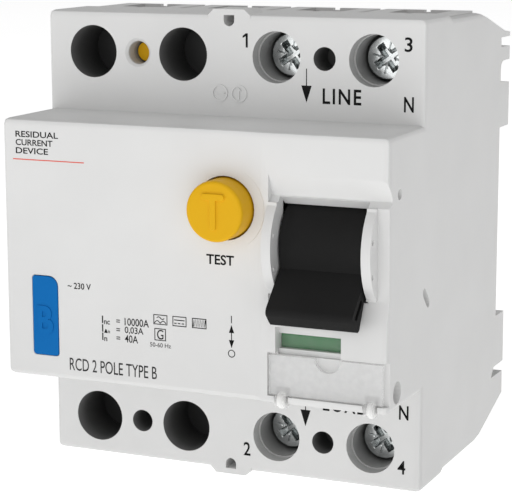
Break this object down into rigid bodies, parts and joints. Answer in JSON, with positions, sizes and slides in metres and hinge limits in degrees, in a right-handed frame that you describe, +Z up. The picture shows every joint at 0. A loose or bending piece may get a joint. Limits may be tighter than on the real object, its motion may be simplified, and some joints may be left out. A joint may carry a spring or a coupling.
{
  "type": "residual current device",
  "caption": "Rail-mounted residual current device with a rocker lever, a round test button, a clear label flap and cage clamp terminals along both edges.",
  "frame": {"origin": "centre of the rail seat face on the back of the device", "axes": "+X to the right seen from the front, +Y into the rail, +Z up"},
  "size_m": [0.0706, 0.0708, 0.082],
  "materials": {
    "housing_white": "white moulded thermoplastic",
    "base_grey": "light grey moulded thermoplastic",
    "lever_black": "black moulded thermoplastic",
    "button_yellow": "yellow moulded thermoplastic",
    "plate_blue": "blue moulded plate",
    "flag_green": "green indicator flag",
    "clear_plastic": "clear polycarbonate",
    "zinc_steel": "zinc plated steel",
    "spring_steel": "spring steel wire",
    "brass": "brass",
    "copper": "copper",
    "board_green": "circuit board laminate",
    "insulator_brown": "brown insulation",
    "part_black": "black moulded insulation",
    "clip_white": "off-white moulded clip"
  },
  "bodies": {
    "housing": {"front_cover": "housing_white", "rear_base": "base_grey", "seal_plug": "button_yellow", "type_plate": "plate_blue", "indicator_window": "clear_plastic", "toggle_axle": "zinc_steel", "mechanism_frame": "zinc_steel", "arc_chute_line": "zinc_steel", "arc_chute_neutral": "zinc_steel", "latch_pin": "zinc_steel", "base_screw_1": "zinc_steel", "base_screw_2": "zinc_steel", "base_screw_3": "zinc_steel", "base_screw_4": "zinc_steel", "main_spring": "spring_steel", "test_spring": "spring_steel", "clip_spring_left": "spring_steel", "clip_spring_right": "spring_steel", "test_contact_blade": "brass", "fixed_contact_line": "copper", "fixed_contact_neutral": "copper", "secondary_winding": "copper", "primary_conductor_line": "copper", "primary_conductor_neutral": "copper", "terminal_plate_1": "copper", "terminal_plate_2": "copper", "terminal_plate_3": "copper", "terminal_plate_4": "copper", "circuit_board": "board_green", "power_transformer": "insulator_brown", "test_resistor": "insulator_brown", "contact_base": "part_black", "trip_relay": "part_black", "summation_core": "part_black", "filter_capacitor": "part_black", "signal_chip": "part_black"},
    "toggle": {"toggle_lever": "lever_black", "link_pin": "zinc_steel"},
    "link": {"drive_link": "zinc_steel"},
    "carrier": {"contact_carrier": "part_black", "moving_contact_line": "copper", "moving_contact_neutral": "copper", "contact_spring_line": "spring_steel", "contact_spring_neutral": "spring_steel"},
    "flag": {"indicator_flag": "flag_green"},
    "test_button": {"test_button": "button_yellow"},
    "flap": {"label_flap": "clear_plastic"},
    "clip_left": {"rail_clip_left": "clip_white"},
    "clip_right": {"rail_clip_right": "clip_white"},
    "latch": {"latch_lever": "zinc_steel"},
    "plunger": {"trip_plunger": "zinc_steel"},
    "screw_1": {"terminal_screw_1": "zinc_steel"},
    "clamp_1": {"lift_clamp_1": "zinc_steel"},
    "screw_2": {"terminal_screw_2": "zinc_steel"},
    "clamp_2": {"lift_clamp_2": "zinc_steel"},
    "screw_3": {"terminal_screw_3": "zinc_steel"},
    "clamp_3": {"lift_clamp_3": "zinc_steel"},
    "screw_4": {"terminal_screw_4": "zinc_steel"},
    "clamp_4": {"lift_clamp_4": "zinc_steel"}
  },
  "joints": [
    {"name": "toggle_rock", "type": "hinge", "parent": "housing", "child": "toggle", "pos_m": [0.02385, -0.0523, 0.0036], "axis": [-1, 0, 0], "range_deg": [0, 82.5]},
    {"name": "link_pivot", "type": "hinge", "parent": "toggle", "child": "link", "pos_m": [0.0237, -0.05183, 0.00808], "axis": [1, 0, 0], "range_deg": [0, 109]},
    {"name": "carrier_slide", "type": "slide", "parent": "housing", "child": "carrier", "axis": [0, 1, 0], "range_m": [0, 0.00502], "deforming": ["main_spring"]},
    {"name": "flag_slide", "type": "slide", "parent": "housing", "child": "flag", "axis": [0, 0, -1], "range_m": [0, 0.00286]},
    {"name": "test_press", "type": "slide", "parent": "housing", "child": "test_button", "axis": [0, 1, 0], "range_m": [0, 0.002], "stiffness_N_per_m": 800, "springref_m": -0.002, "deforming": ["test_spring"]},
    {"name": "flap_hinge", "type": "hinge", "parent": "housing", "child": "flap", "pos_m": [0.02467, -0.0593, -0.0217], "axis": [1, 0, 0], "range_deg": [0, 95]},
    {"name": "clip_slide_left", "type": "slide", "parent": "housing", "child": "clip_left", "axis": [0, 0, -1], "range_m": [0, 0.003], "stiffness_N_per_m": 3000, "springref_m": -0.002, "deforming": ["clip_spring_left"]},
    {"name": "clip_slide_right", "type": "slide", "parent": "housing", "child": "clip_right", "axis": [0, 0, -1], "range_m": [0, 0.003], "stiffness_N_per_m": 3000, "springref_m": -0.002, "deforming": ["clip_spring_right"]},
    {"name": "latch_pivot", "type": "hinge", "parent": "housing", "child": "latch", "pos_m": [0.0175, -0.0351, -0.0075], "axis": [1, 0, 0], "range_deg": [0, 8]},
    {"name": "plunger_slide", "type": "slide", "parent": "housing", "child": "plunger", "axis": [0, 0, 1], "range_m": [0, 0.0008], "stiffness_N_per_m": 500, "springref_m": -0.001},
    {"name": "screw_turn_1", "type": "hinge", "parent": "housing", "child": "screw_1", "pos_m": [0.00875, -0.0361, 0.0329], "axis": [0, 1, 0], "range_deg": [0, 2722.5]},
    {"name": "clamp_lift_1", "type": "slide", "parent": "housing", "child": "clamp_1", "axis": [0, -1, 0], "range_m": [0, 0.00605]},
    {"name": "screw_turn_2", "type": "hinge", "parent": "housing", "child": "screw_2", "pos_m": [0.02625, -0.0361, 0.0329], "axis": [0, 1, 0], "range_deg": [0, 2722.5]},
    {"name": "clamp_lift_2", "type": "slide", "parent": "housing", "child": "clamp_2", "axis": [0, -1, 0], "range_m": [0, 0.00605]},
    {"name": "screw_turn_3", "type": "hinge", "parent": "housing", "child": "screw_3", "pos_m": [0.00875, -0.0361, -0.0334], "axis": [0, 1, 0], "range_deg": [0, 2722.5]},
    {"name": "clamp_lift_3", "type": "slide", "parent": "housing", "child": "clamp_3", "axis": [0, -1, 0], "range_m": [0, 0.00605]},
    {"name": "screw_turn_4", "type": "hinge", "parent": "housing", "child": "screw_4", "pos_m": [0.02625, -0.0361, -0.0334], "axis": [0, 1, 0], "range_deg": [0, 2722.5]},
    {"name": "clamp_lift_4", "type": "slide", "parent": "housing", "child": "clamp_4", "axis": [0, -1, 0], "range_m": [0, 0.00605]}
  ],
  "couplings": [
    {"joint": "link_pivot", "follows": "toggle_rock", "ratio": 1.3167},
    {"joint": "carrier_slide", "follows": "toggle_rock", "m_per_rad": 0.0034719},
    {"joint": "flag_slide", "follows": "toggle_rock", "m_per_rad": 0.0019712},
    {"joint": "latch_pivot", "follows": "plunger_slide", "rad_per_m": 172.35},
    {"joint": "screw_turn_1", "follows": "clamp_lift_1", "rad_per_m": 7854},
    {"joint": "screw_turn_2", "follows": "clamp_lift_2", "rad_per_m": 7854},
    {"joint": "screw_turn_3", "follows": "clamp_lift_3", "rad_per_m": 7854},
    {"joint": "screw_turn_4", "follows": "clamp_lift_4", "rad_per_m": 7854}
  ]
}
